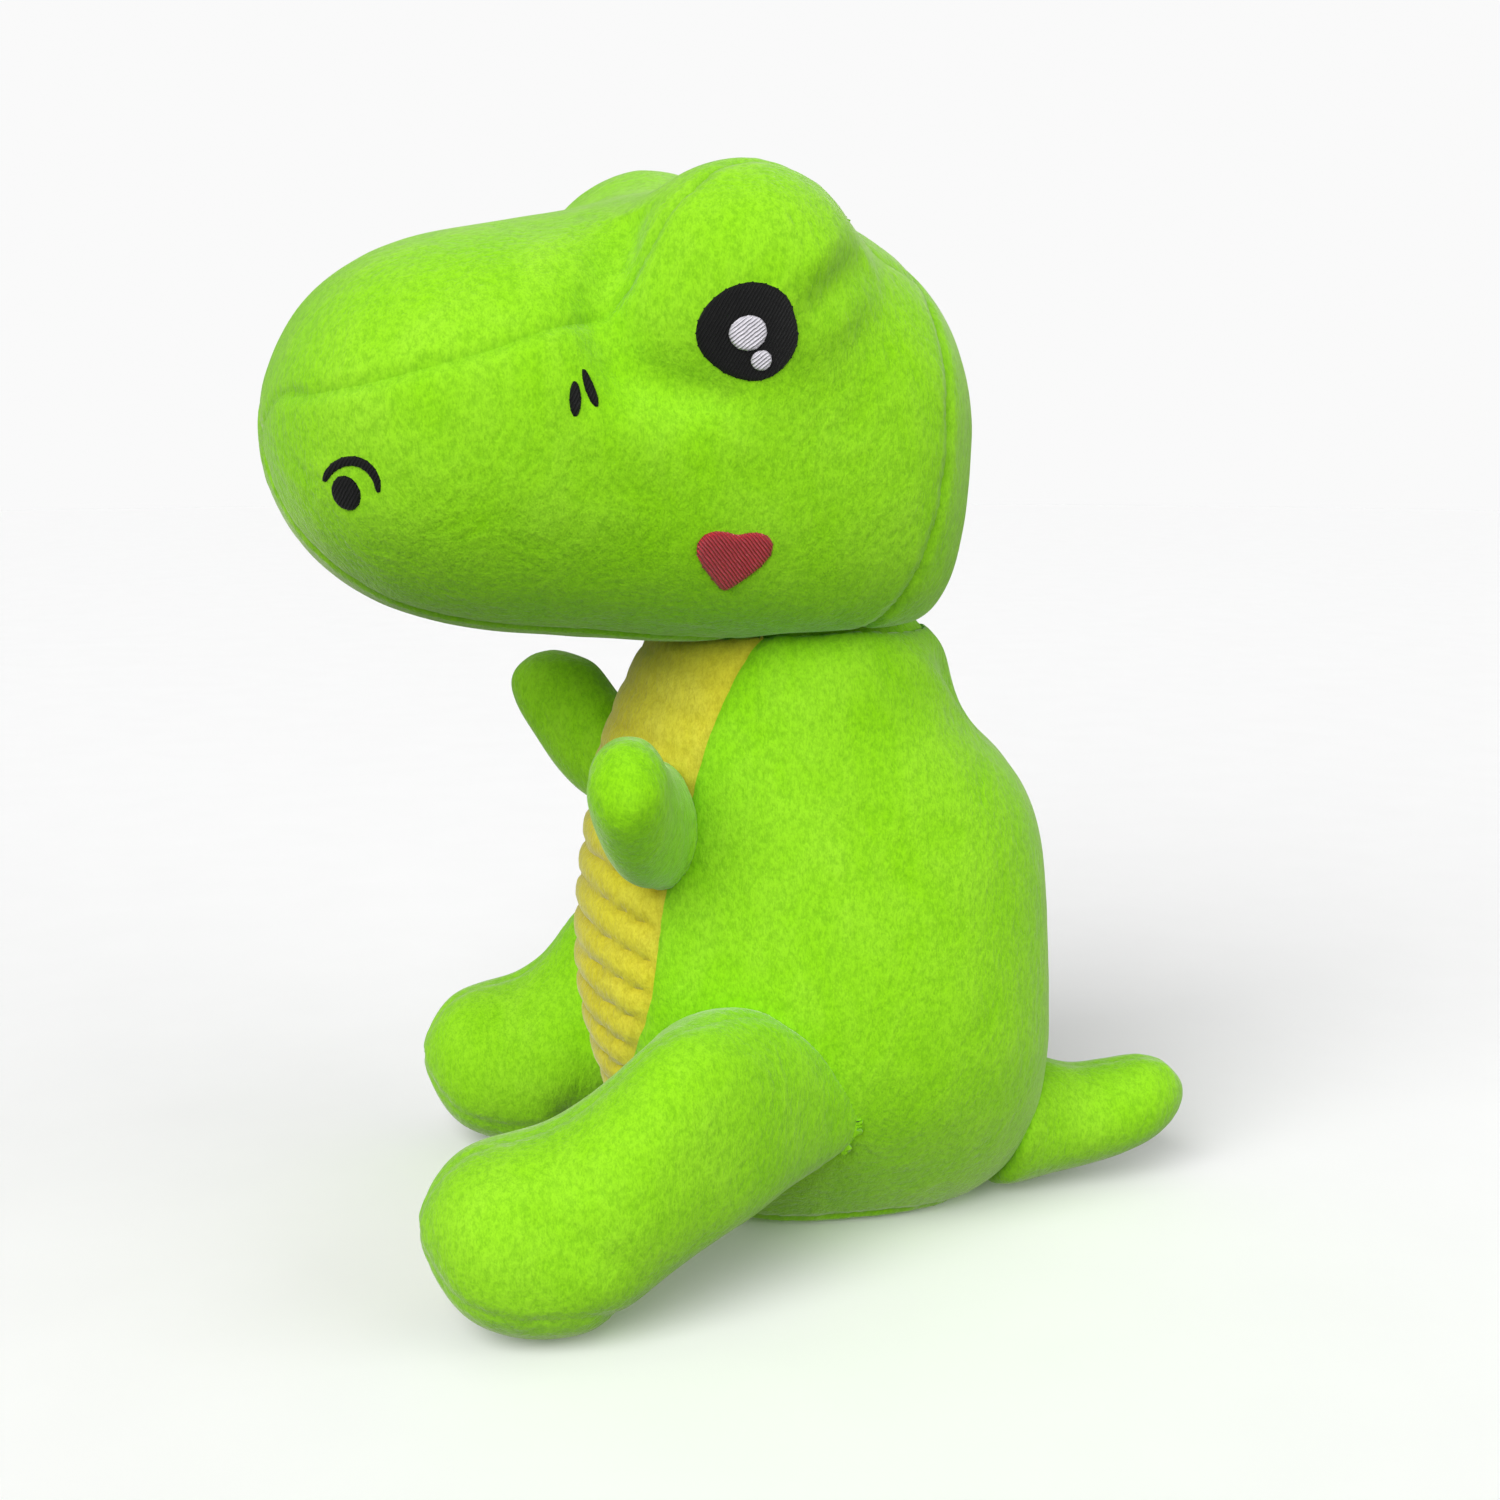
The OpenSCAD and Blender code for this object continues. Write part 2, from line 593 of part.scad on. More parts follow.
function arm_ring(s, t, lean) =
    let(d = arm_dir(s, lean),
        u = unit(cross(d, [0, 0, 1])),
        v = cross(u, d),
        tip = round_end((1.12 - s) / 0.36, 2),
        a = (arm_d / 2 * look(ARM, s, 4) - t) * tip,
        b = (arm_d / 2 * look(ARM, s, 5) - t) * tip)
    [for (j = [0 : ARM_COLS - 1])
        let(q = 360 * j / ARM_COLS)
        arm_mid(s, lean) + u * a * cos(q) + v * b * sin(q)];

// every point stays outside a cone about the pivot, so the arm can swing
function clear_cone(p, t) =
    let(w = p - arm_pivot,
        h = w * arm_root_out,
        side = w - h * arm_root_out,
        need = joint_gap + t + norm(side) * tan(arm_swing))
    h < need ? p + (need - h) * arm_root_out : p;

function arm_rings(t, lean) = [for (s = ARM_ROWS) [for (p = arm_ring(s, t, lean)) clear_cone(p, t)]];
function arm_root(t) = clear_cone(arm_pivot, t);
function arm_tip(t, lean) = arm_mid(1, lean) + arm_dir(1, lean) * (arm_d * 0.18 - t);
function cols(rings, j0, j1) = [for (r = rings) [for (j = [j0 : j1]) r[j % len(r)]]];
function with_tips(grid, a, b) = concat([[for (p = grid[0]) a]], grid, [[for (p = grid[0]) b]]);

module arm_shell(side, j0, j1) {
    lean = lean_of(side);
    outer = cols(arm_rings(0, lean), j0, j1);
    inner = cols(arm_rings(fabric_t, lean), j0, j1);
    color(plush_green) placed() left_or_right(side)
        panel(with_tips(outer, arm_root(0), arm_tip(0, lean)),
            with_tips(inner, arm_root(fabric_t), arm_tip(fabric_t, lean)),
            p0 = true, p1 = true);
}
module arm_upper(side) { arm_shell(side, 0, ARM_COLS / 2); }
module arm_lower(side) { arm_shell(side, ARM_COLS / 2, ARM_COLS); }
module arm_fill(side) {
    t = fabric_t + fill_gap;
    lean = lean_of(side);
    color(fill_white) placed() left_or_right(side)
        stuffing(arm_rings(t, lean), arm_root(t), arm_tip(t, lean));
}

// ---------- legs: rings across the leg's length ----------
// y, inner x, outer x, bottom, top
LEG = [
    [-82, 51, 67, 20, 34],
    [-77, 43, 75, 10, 41],
    [-68, 40, 79, 4, 45],
    [-58, 39, 80, 0.5, 47],
    [-48, 39, 80, 0, 50],
    [-38, 40, 79, 3, 59],
    [-28, 41, 76, 9, 68],
    [-18, 42, 72, 14, 71.5],
    [-6, 42, 66, 18, 69],
    [5, 43, 59, 23, 60],
    [15, 45, 53, 29, 46]
];
leg_front_y = -82;
leg_back_y = 15.5;
leg_front_round = 12;
leg_back_round = 8;
leg_tilt = 18;
leg_out = [cos(leg_tilt), -sin(leg_tilt), 0];
leg_face = 43.6;       // distance of the leg's flat inner face from the origin axis along leg_out
LEG_ROWS = [-81.6, -80.4, -78, -73, -67, -60, -52, -44, -36, -30, -23, -15, -7, 1, 8, 13, 15];
LEG_PANEL_COLS = 7;
SOLE_COLS = 6;
sole_half_angle = 54;  // under the foot, either side of straight down
heel_y = -36;
sole_taper = 20;
leg_fill_gap = 1.4;
fill_sole_least = 5;   // the stuffing keeps a narrow strip underneath where the sole has ended

// one point of the leg's skin at station y, angle q from +X
function leg_pt(y, q, t) =
    let(front = round_end((y - leg_front_y) / leg_front_round, 2),
        back = round_end((leg_back_y - y) / leg_back_round, 2),
        full = lerp(0.25, 1, front * back),
        xi = look(LEG, y, 1),
        xo = lerp(xi, look(LEG, y, 2), foot_w / 42),
        zb = look(LEG, y, 3),
        zt = look(LEG, y, 4),
        r = oval_r(((xo - xi) / 2 - t) * full, ((zt - zb) / 2 - t) * full, 2.3, q),
        share = (y - leg_front_y) / (leg_back_y - leg_front_y))
    flat_inside([(xi + xo) / 2 + r * cos(q), lerp(leg_front_y + t, leg_back_y - t, share),
        max((zb + zt) / 2 + r * sin(q), t)], t);

// points of the leg keep outside the flat face that lies against the body
function flat_inside(p, t) =
    let(h = p * leg_out,
        need = leg_face + t)
    h < need ? p + (need - h) * leg_out : p;

// the sole is a leaf under the foot that ends in a point at the heel
function sole_spread(y) = sole_half_angle * round_end((heel_y - y) / sole_taper, 2);
function leg_tip(y, t) = flat_inside([(look(LEG, y, 1) + look(LEG, y, 2)) / 2, y + (y < 0 ? t : -t),
    (look(LEG, y, 3) + look(LEG, y, 4)) / 2], t);
function leg_strip(rows, cols, from, to, t) = [for (y = rows) [for (j = [0 : cols])
    leg_pt(y, lerp(from ? 270 + sole_spread(y) : 90, to ? 450 : 270 - sole_spread(y), j / cols), t)]];
function sole_strip(rows, t) = [for (y = rows) [for (j = [0 : SOLE_COLS])
    leg_pt(y, lerp(270 - sole_spread(y), 270 + sole_spread(y), j / SOLE_COLS), t)]];

module leg_panel(side, outer_face) {
    outer = leg_strip(LEG_ROWS, LEG_PANEL_COLS, outer_face, outer_face, 0);
    inner = leg_strip(LEG_ROWS, LEG_PANEL_COLS, outer_face, outer_face, fabric_t);
    color(plush_green) placed() left_or_right(side)
        panel(with_tips(outer, leg_tip(leg_front_y, 0), leg_tip(leg_back_y, 0)),
            with_tips(inner, leg_tip(leg_front_y, fabric_t), leg_tip(leg_back_y, fabric_t)),
            p0 = true, p1 = true);
}
module leg_outer(side) { leg_panel(side, true); }
module leg_inner(side) { leg_panel(side, false); }

SOLE_ROWS = [for (y = LEG_ROWS) if (y < heel_y - 1) y];
module sole(side) {
    color(plush_green) placed() left_or_right(side)
        panel(with_tips(sole_strip(SOLE_ROWS, 0), leg_tip(leg_front_y, 0), leg_pt(heel_y, 270, 0)),
            with_tips(sole_strip(SOLE_ROWS, fabric_t),
                leg_tip(leg_front_y, fabric_t), leg_pt(heel_y, 270, fabric_t)),
            p0 = true, p1 = true);
}
// the stuffing's columns follow the two panels' columns
function leg_fill_ring(y, t) =
    let(s = max(sole_spread(y), fill_sole_least),
        n = LEG_PANEL_COLS)
    concat([for (j = [0 : n]) leg_pt(y, lerp(270 + s, 450, j / n), t)],
        [for (j = [1 : n]) leg_pt(y, lerp(90, 270 - s, j / n), t)]);
module leg_fill(side) {
    t = fabric_t + leg_fill_gap;
    rings = [for (y = LEG_ROWS) leg_fill_ring(y, t)];
    color(fill_white) placed() left_or_right(side)
        stuffing(rings, leg_tip(leg_front_y, t), leg_tip(leg_back_y, t));
}

// ---------- tail ----------
// share of the length, centre height, half width, half height
TAIL = [[0, 16, 17, 15], [0.3, 17.5, 15, 14], [0.6, 20.5, 13, 13], [0.85, 22.5, 10.5, 12], [1, 23, 9, 11]];
tail_wag = 18;
tail_gap_y = 1.6;      // the body's facets and its round back stay clear of the root
TAIL_COLS = 16;
TAIL_ROWS = [0.0, 0.15, 0.3, 0.45, 0.6, 0.72, 0.84, 0.92, 0.98];
function tail_ring(s, t) =
    let(tip = round_end((1 - s) / 0.34, 2),
        hx = (look(TAIL, s, 2) - t) * tip,
        hz = (look(TAIL, s, 3) - t) * tip)
    [for (j = [0 : TAIL_COLS - 1])
        let(q = 90 + 360 * j / TAIL_COLS,
            x = hx * cos(q),
            z = max(look(TAIL, s, 1) + hz * sin(q), t))
        [x, max(lerp(tail_root_y + 3, tail_tip_y - t, s), tail_need(x, t)), z]];
function tail_need(x, t) = tail_root_y + tail_gap_y + t + abs(x) * tan(tail_wag);
function tail_rings(t) = [for (s = TAIL_ROWS) tail_ring(s, t)];
function tail_root(t) = [0, tail_need(0, t), look(TAIL, 0, 1)];
function tail_end(t) = [0, tail_tip_y - t, look(TAIL, 1, 1)];

module tail_half(side) {
    outer = cols(tail_rings(0), TAIL_COLS / 2, TAIL_COLS);
    inner = cols(tail_rings(fabric_t), TAIL_COLS / 2, TAIL_COLS);
    color(plush_green) placed() left_or_right(side)
        panel(with_tips(outer, tail_root(0), tail_end(0)),
            with_tips(inner, tail_root(fabric_t), tail_end(fabric_t)), p0 = true, p1 = true);
}
module tail_fill() {
    t = fabric_t + fill_gap;
    color(fill_white) placed() stuffing(tail_rings(t), tail_root(t), tail_end(t));
}

// ---------- the pieces ----------
body_side(1);  // body_side_left
body_side(-1);  // body_side_right
belly_panel();
base_panel();
body_fill();
closing_stitches();
neck_skin();
neck_fill();
head_side(1);  // head_side_left
head_side(-1);  // head_side_right
head_top_panel();
head_back_panel();
chin_panel();
head_fill();
eye_disc(1);  // eye_disc_left
eye_disc(-1);  // eye_disc_right
eye_highlights(1);  // eye_highlights_left
eye_highlights(-1);  // eye_highlights_right
brow_marks(1);  // brow_marks_left
brow_marks(-1);  // brow_marks_right
nostril(1);  // nostril_left
nostril(-1);  // nostril_right
nostril_arc(1);  // nostril_arc_left
nostril_arc(-1);  // nostril_arc_right
cheek_heart(1);  // cheek_heart_left
cheek_heart(-1);  // cheek_heart_right
arm_upper(1);  // arm_upper_left
arm_upper(-1);  // arm_upper_right
arm_lower(1);  // arm_lower_left
arm_lower(-1);  // arm_lower_right
arm_fill(1);  // arm_fill_left
arm_fill(-1);  // arm_fill_right
leg_outer(1);  // leg_outer_left
leg_outer(-1);  // leg_outer_right
leg_inner(1);  // leg_inner_left
leg_inner(-1);  // leg_inner_right
sole(1);  // sole_left
sole(-1);  // sole_right
leg_fill(1);  // leg_fill_left
leg_fill(-1);  // leg_fill_right
tail_half(1);  // tail_left
tail_half(-1);  // tail_right
tail_fill();
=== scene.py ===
import json
import math

import bmesh
import bpy
import numpy as np
from mathutils import Euler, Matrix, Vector, noise
from mathutils.bvhtree import BVHTree
from mathutils.kdtree import KDTree


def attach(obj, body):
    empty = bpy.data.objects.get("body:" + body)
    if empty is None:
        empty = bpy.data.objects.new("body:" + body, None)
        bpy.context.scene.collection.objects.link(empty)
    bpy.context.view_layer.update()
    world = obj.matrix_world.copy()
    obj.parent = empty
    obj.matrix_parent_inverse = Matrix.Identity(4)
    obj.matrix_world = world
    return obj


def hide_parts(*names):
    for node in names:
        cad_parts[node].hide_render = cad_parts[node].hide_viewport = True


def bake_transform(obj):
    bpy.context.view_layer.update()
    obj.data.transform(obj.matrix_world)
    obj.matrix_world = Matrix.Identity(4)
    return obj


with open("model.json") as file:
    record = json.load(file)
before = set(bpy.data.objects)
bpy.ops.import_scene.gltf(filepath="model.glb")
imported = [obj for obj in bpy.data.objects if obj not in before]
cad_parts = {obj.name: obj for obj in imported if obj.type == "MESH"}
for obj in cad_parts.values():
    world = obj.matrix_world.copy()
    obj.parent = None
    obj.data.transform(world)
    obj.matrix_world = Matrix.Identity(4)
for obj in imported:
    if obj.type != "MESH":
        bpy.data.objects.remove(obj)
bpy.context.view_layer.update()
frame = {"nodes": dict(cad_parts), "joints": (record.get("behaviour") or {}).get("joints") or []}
MM = 0.001

# ---------------------------------------------------------------- camera, light and floor

camera_data = bpy.data.cameras.new("camera")
camera_data.lens = 45.6
camera_data.sensor_width = 36.0
camera = bpy.data.objects.new("camera", camera_data)
bpy.context.scene.collection.objects.link(camera)
camera.location = (0.4606, -0.0957, 0.204)
AIM = Vector((0, -0.002, 0.121))
camera.rotation_euler = (AIM - camera.location).to_track_quat("-Z", "Y").to_euler()
bpy.context.scene.camera = camera
bpy.context.scene.view_settings.view_transform = "Standard"
bpy.context.scene.view_settings.look = "None"


def sun_light(name, place, strength, spread):
    data = bpy.data.lights.new(name, "SUN")
    data.energy = strength
    data.angle = math.radians(spread)
    lamp = bpy.data.objects.new(name, data)
    bpy.context.scene.collection.objects.link(lamp)
    lamp.location = place
    lamp.rotation_euler = (AIM - lamp.location).to_track_quat("-Z", "Y").to_euler()


sun_light("key_light", (1.00, -0.80, 0.97), 3.2, 50)
sun_light("side_light", (0.80, 1.00, 0.30), 1.7, 60)

# The studio seen from below is darker than from above; the camera sees plain white
ABOVE, BELOW = 0.36, 0.18
world = bpy.data.worlds.new("studio")
bpy.context.scene.world = world
world.use_nodes = True
sky = world.node_tree.nodes["Background"]
sky.inputs["Color"].default_value = (1, 1, 1, 1)
way = world.node_tree.nodes.new("ShaderNodeTexCoord")
split = world.node_tree.nodes.new("ShaderNodeSeparateXYZ")
height = world.node_tree.nodes.new("ShaderNodeMapRange")
seen = world.node_tree.nodes.new("ShaderNodeLightPath")
level = world.node_tree.nodes.new("ShaderNodeMapRange")
FROM_MIN, FROM_MAX, TO_MIN, TO_MAX = 1, 2, 3, 4
for socket, value in ((FROM_MIN, -0.5), (FROM_MAX, 0.3), (TO_MIN, BELOW), (TO_MAX, ABOVE)):
    height.inputs[socket].default_value = value
BACKDROP = 0.955
level.inputs[TO_MAX].default_value = BACKDROP
links = world.node_tree.links
links.new(way.outputs["Generated"], split.inputs[0])
links.new(split.outputs["Z"], height.inputs[0])
links.new(height.outputs[0], level.inputs[TO_MIN])
links.new(seen.outputs["Is Camera Ray"], level.inputs[0])
links.new(level.outputs[0], sky.inputs["Strength"])


# ---------------------------------------------------------------- node helpers


class Nodes:
    """A short way to build one material's node tree."""

    def __init__(self, name):
        self.material = bpy.data.materials.new(name)
        self.material.use_nodes = True
        self.tree = self.material.node_tree
        self.shader = self.tree.nodes["Principled BSDF"]
        self.output = self.tree.nodes["Material Output"]
        self.place = self.tree.nodes.new("ShaderNodeTexCoord").outputs["Object"]

    def put(self, socket, value):
        if isinstance(value, bpy.types.NodeSocket):
            self.tree.links.new(value, socket)
        else:
            socket.default_value = value

    def new(self, kind, values=None, **settings):
        node = self.tree.nodes.new(kind)
        for key, value in settings.items():
            setattr(node, key, value)
        for key, value in (values or {}).items():
            self.put(node.inputs[key], value)
        return node

    def math(self, operation, a, b=0.0, clamp=False):
        return self.new("ShaderNodeMath", {0: a, 1: b}, operation=operation, use_clamp=clamp).outputs[0]

    def stretch(self, scale, turn=(0, 0, 0)):
        """Object coordinates scaled along their axes."""
        return self.new(
            "ShaderNodeMapping", {"Vector": self.place, "Scale": scale, "Rotation": turn}
        ).outputs[0]

    def noise(self, vector, scale, detail=2.0, rough=0.5, distort=0.0):
        return self.new(
            "ShaderNodeTexNoise",
            {"Vector": vector, "Scale": scale, "Detail": detail, "Roughness": rough, "Distortion": distort},
        ).outputs["Fac"]

    def ramp(self, value, low, high, to_low=0.0, to_high=1.0):
        return self.new(
            "ShaderNodeMapRange", {0: value, 1: low, 2: high, 3: to_low, 4: to_high}
        ).outputs[0]

    def mix(self, share, a, b, how="MIX"):
        node = self.new("ShaderNodeMix", data_type="RGBA", blend_type=how)
        self.put(node.inputs[0], share)
        self.put(node.inputs[6], a)
        self.put(node.inputs[7], b)
        return node.outputs[2]

    def attribute(self, name):
        return self.new("ShaderNodeAttribute", attribute_name=name).outputs["Fac"]

    def bump(self, height, distance, strength=1.0, under=None):
        node = self.new("ShaderNodeBump", {"Height": height, "Distance": distance, "Strength": strength})
        if under is not None:
            self.put(node.inputs["Normal"], under)
        return node.outputs[0]

    def set(self, **values):
        for key, value in values.items():
            self.put(self.shader.inputs[key.replace("_", " ")], value)


def srgb(red, green, blue):
    def linear(value):
        value /= 255
        return value / 12.92 if value <= 0.04045 else ((value + 0.055) / 1.055) ** 2.4

    return (linear(red), linear(green), linear(blue), 1.0)


def pile_cloth(name, bright, deep, pale, sheen_tint, nap_scale=60.0):
    """Short brushed pile: mottled nap, fine fibre grain, paler tips at a glance, and painted shade along the
    seams and in the ribs' valleys.
    """
    m = Nodes(name)
    brushed = m.noise(m.stretch((1.0, 1.0, 0.62)), nap_scale, 4.0, 0.62, 0.6)
    patches = m.noise(m.stretch((1.0, 0.8, 1.0)), nap_scale * 0.4, 2.0, 0.5, 0.3)
    tufts = m.noise(m.stretch((1.0, 1.0, 0.7)), 700.0, 2.0, 0.6)
    fibres = m.noise(m.stretch((1.0, 1.0, 0.45)), 2400.0, 2.0, 0.7)
    nap = m.math("ADD", m.math("MULTIPLY", brushed, 0.65), m.math("MULTIPLY", patches, 0.35))
    colour = m.mix(m.ramp(nap, 0.34, 0.70), bright, pale)
    grain = m.math("ADD", m.math("MULTIPLY", tufts, 0.5), m.math("MULTIPLY", fibres, 0.5))
    colour = m.mix(m.ramp(grain, 0.58, 0.38, 0.0, 0.4), colour, deep)
    # Painted shade along the seams' grooves, darkening the pile towards the deep colour
    seam = m.attribute("seam")
    colour = m.mix(m.math("MULTIPLY", seam, 0.30, True), colour, deep)
    # Painted shade: the belly ribs' valleys darkened towards the deep colour
    colour = m.mix(m.math("MULTIPLY", m.attribute("rib_shade"), 0.5, True), colour, deep)
    height = m.math("ADD", m.math("MULTIPLY", tufts, 0.6), m.math("MULTIPLY", fibres, 0.4))
    soft = m.bump(nap, 0.004, 0.5)
    m.set(Base_Color=colour, Normal=m.bump(height, 0.0008, 0.55, soft))
    m.set(Roughness=m.ramp(tufts, 0.3, 0.7, 0.82, 0.98))
    m.set(Sheen_Weight=0.45, Sheen_Roughness=0.35, Specular_IOR_Level=0.1)
    m.shader.inputs["Sheen Tint"].default_value = sheen_tint
    return m.material


LIME = pile_cloth("lime_pile", srgb(134, 206, 12), srgb(76, 142, 4), srgb(152, 216, 44), (1.0, 1.0, 0.86, 1.0))
YELLOW = pile_cloth("yellow_pile", srgb(204, 196, 44), srgb(150, 136, 14), srgb(214, 208, 76), (1, 1, 0.85, 1))


def stitched(name, colour, dark, pitch=0.0007, turn=0.0, rough=0.5, sheen=0.2, gloss=0.5):
    """Fill embroidery: rows of thread, slightly uneven, with a satin gloss, the valleys between the rows
    darkened as painted shade.
    """
    m = Nodes(name)
    wobble = m.noise(m.stretch((1, 1, 1)), 420.0, 2.0, 0.5)
    rows = m.new(
        "ShaderNodeTexWave",
        {"Vector": m.stretch((1, 1, 1), (turn, 0, 0)), "Scale": 0.32 / pitch, "Distortion": 1.6, "Detail": 2.0,
         "Detail Scale": 1.5},
        bands_direction="Y",
    ).outputs["Fac"]
    grain = m.noise(m.stretch((1, 1, 1)), 2200.0, 2.0, 0.6)
    # Painted shade: the thread rows darker in their valleys; grain and wobble are the thread's random tone
    shade = m.math("MULTIPLY", m.ramp(rows, 0.0, 1.0, 0.35, 1.0), m.ramp(grain, 0.3, 0.7, 0.6, 1.0))
    m.set(Base_Color=m.mix(m.math("MULTIPLY", shade, m.ramp(wobble, 0.3, 0.7, 0.75, 1.0)), dark, colour))
    m.set(Normal=m.bump(m.math("ADD", rows, m.math("MULTIPLY", grain, 0.4)), 0.0004, 0.9))
    m.set(Roughness=m.ramp(rows, 0.0, 1.0, rough + 0.2, rough), Sheen_Weight=sheen, Specular_IOR_Level=gloss)
    return m.material


BLACK = stitched("black_thread", srgb(22, 22, 22), srgb(4, 4, 5), turn=0.5, sheen=0.02, gloss=0.15)
SILVER = stitched("silver_thread", srgb(246, 243, 250), srgb(170, 166, 176), turn=0.9, rough=0.3)
RED = stitched("red_thread", srgb(204, 28, 52), srgb(122, 8, 26), turn=-0.7, rough=0.28, sheen=0.05)
THREAD = stitched("green_thread", srgb(118, 200, 30), srgb(70, 140, 10), rough=0.45)

FINISH = {
    "plush": LIME,
    "belly_velboa": YELLOW,
    "embroidery_black": BLACK,
    "embroidery_silver": SILVER,
    "embroidery_red": RED,
    "sewing_thread": THREAD,
}

floor_tree = Nodes("studio_floor")
paper = floor_tree.noise(floor_tree.stretch((1, 1, 1)), 30.0, 3.0, 0.5)
floor_tree.set(Base_Color=floor_tree.mix(paper, (0.95, 0.95, 0.95, 1), (0.99, 0.99, 0.99, 1)), Roughness=0.8)
floor_mesh = bpy.data.meshes.new("studio_floor")
FLOOR_R, FLOOR_SIDES = 4.0, 64
turns = [i * math.pi / (FLOOR_SIDES / 2) for i in range(FLOOR_SIDES)]
ring = [(FLOOR_R * math.cos(a), FLOOR_R * math.sin(a), 0.0) for a in turns]
floor_mesh.from_pydata(ring, [], [list(range(FLOOR_SIDES))])
floor_mesh.materials.append(floor_tree.material)
floor = bpy.data.objects.new("studio_floor", floor_mesh)
bpy.context.scene.collection.objects.link(floor)
floor.visible_diffuse = False


# ---------------------------------------------------------------- mesh helpers


def welded(node):
    bm = bmesh.new()
    bm.from_mesh(frame["nodes"][node].data)
    bmesh.ops.remove_doubles(bm, verts=bm.verts, dist=1e-5)
    return bm


def object_of(name, bm):
    mesh = bpy.data.meshes.new(name)
    bm.to_mesh(mesh)
    bm.free()
    o = bpy.data.objects.new(name, mesh)
    bpy.context.scene.collection.objects.link(o)
    return o


def smooth_shaded(mesh):
    for face in mesh.polygons:
        face.use_smooth = True


def tree_of(mesh):
    """The skin's faces, to find the nearest point on them."""
    return BVHTree.FromPolygons([v.co.copy() for v in mesh.vertices], [list(f.vertices) for f in mesh.polygons])


def joined(bm, keep_panels):
    """Turns pairs of triangles into quads, so that the subdivision is even."""
    bmesh.ops.join_triangles(
        bm, faces=bm.faces, angle_face_threshold=0.9, angle_shape_threshold=1.2, cmp_materials=keep_panels
    )


def mark_points(mesh, name, values):
    """Keeps a value for each vertex, for the material to read."""
    mesh.attributes.new(name, "FLOAT", "POINT").data.foreach_set("value", values.astype(np.float32))


def apply_modifiers(o):
    bpy.context.view_layer.update()
    made = bpy.data.meshes.new_from_object(o.evaluated_get(bpy.context.evaluated_depsgraph_get()))
    old = o.data
    o.modifiers.clear()
    o.data = made
    made.name = old.name
    bpy.data.meshes.remove(old)


def smoother(o, levels):
    m = o.modifiers.new("subdivide", "SUBSURF")
    m.levels = m.render_levels = levels
    m.boundary_smooth = "ALL"
    apply_modifiers(o)


def points_of(mesh):
    co = np.zeros(len(mesh.vertices) * 3)
    mesh.vertices.foreach_get("co", co)
    return co.reshape(-1, 3)


def normals_of(mesh):
    normal = np.zeros(len(mesh.vertices) * 3)
    mesh.vertices.foreach_get("normal", normal)
    return normal.reshape(-1, 3)


def set_points(mesh, co):
    mesh.vertices.foreach_set("co", np.ascontiguousarray(co).ravel())
    mesh.update()


def wavy(points, scale, seed):
    return np.array([noise.noise(Vector(p) * scale + Vector((seed, seed * 1.7, -seed))) for p in points])


def seam_line(mesh):
    """Points along the edges where two panels meet, close together."""
    sides = {}
    for face in mesh.polygons:
        for key in face.edge_keys:
            sides.setdefault(key, set()).add(face.material_index)
    found = []
    for (a, b), panels in sides.items():
        if len(panels) > 1:
            p, q = mesh.vertices[a].co, mesh.vertices[b].co
            found += [p, (p + q) / 2]
    return found


def near(points, targets):
    """The distance to the nearest target, and that target, for each point."""
    if not targets:
        return np.full(len(points), 1.0), np.array(points)
    tree = KDTree(len(targets))
    for i, p in enumerate(targets):
        tree.insert(p, i)
    tree.balance()
    hits = [tree.find(p) for p in points]
    return np.array([h[2] for h in hits]), np.array([h[0] for h in hits])


# A panel's face further than this from the filling is its outer face
OUTER_LEAST = 1.15 * MM
# Holes of the skin with no more edges than this are closed
MEND_SIDES = 30


def mend(bm):
    """Takes off stray flaps of the seam allowance and closes the small holes, not the neck's opening."""
    for _ in range(6):
        flaps = [
            f
            for f in bm.faces
            if any(len(e.link_faces) > 2 for e in f.edges) and any(len(e.link_faces) == 1 for e in f.edges)
        ]
        bmesh.ops.delete(bm, geom=flaps, context="FACES")
    rim = [e for e in bm.edges if len(e.link_faces) == 1]
    made = bmesh.ops.holes_fill(bm, edges=rim, sides=MEND_SIDES)["faces"]
    rim = {e for e in bm.edges if len(e.link_faces) == 1}
    while rim:
        loop, edge = [], [rim.pop()]
        while edge:
            e = edge.pop()
            loop.append(e)
            beside = [g for v in e.verts for g in v.link_edges if g in rim]
            rim.difference_update(beside)
            edge += beside
        if len(loop) <= MEND_SIDES:
            made += bmesh.ops.contextual_create(bm, geom=loop)["faces"]
    for f in made:
        beside = [g.material_index for e in f.edges for g in e.link_faces if g is not f]
        f.material_index = max(sorted(set(beside)), key=beside.count)
    bmesh.ops.recalc_face_normals(bm, faces=bm.faces)


def skin_of(panels, fill):
    """The outside of a stuffed body's panels as one welded mesh, its material index the panel's."""
    fill_tree = BVHTree.FromBMesh(welded(fill))
    bm = bmesh.new()
    for index, node in enumerate(panels):
        part = welded(node)
        for face in part.faces:
            centre = face.calc_center_median()
            inner, _, _, away = fill_tree.find_nearest(centre)
            if away > OUTER_LEAST and face.normal.dot((centre - inner).normalized()) > 0.3:
                made = bm.faces.new([bm.verts.new(v.co) for v in face.verts])
                made.material_index = index
        part.free()
    bmesh.ops.remove_doubles(bm, verts=bm.verts, dist=2e-5)
    mend(bm)
    joined(bm, True)
    return bm


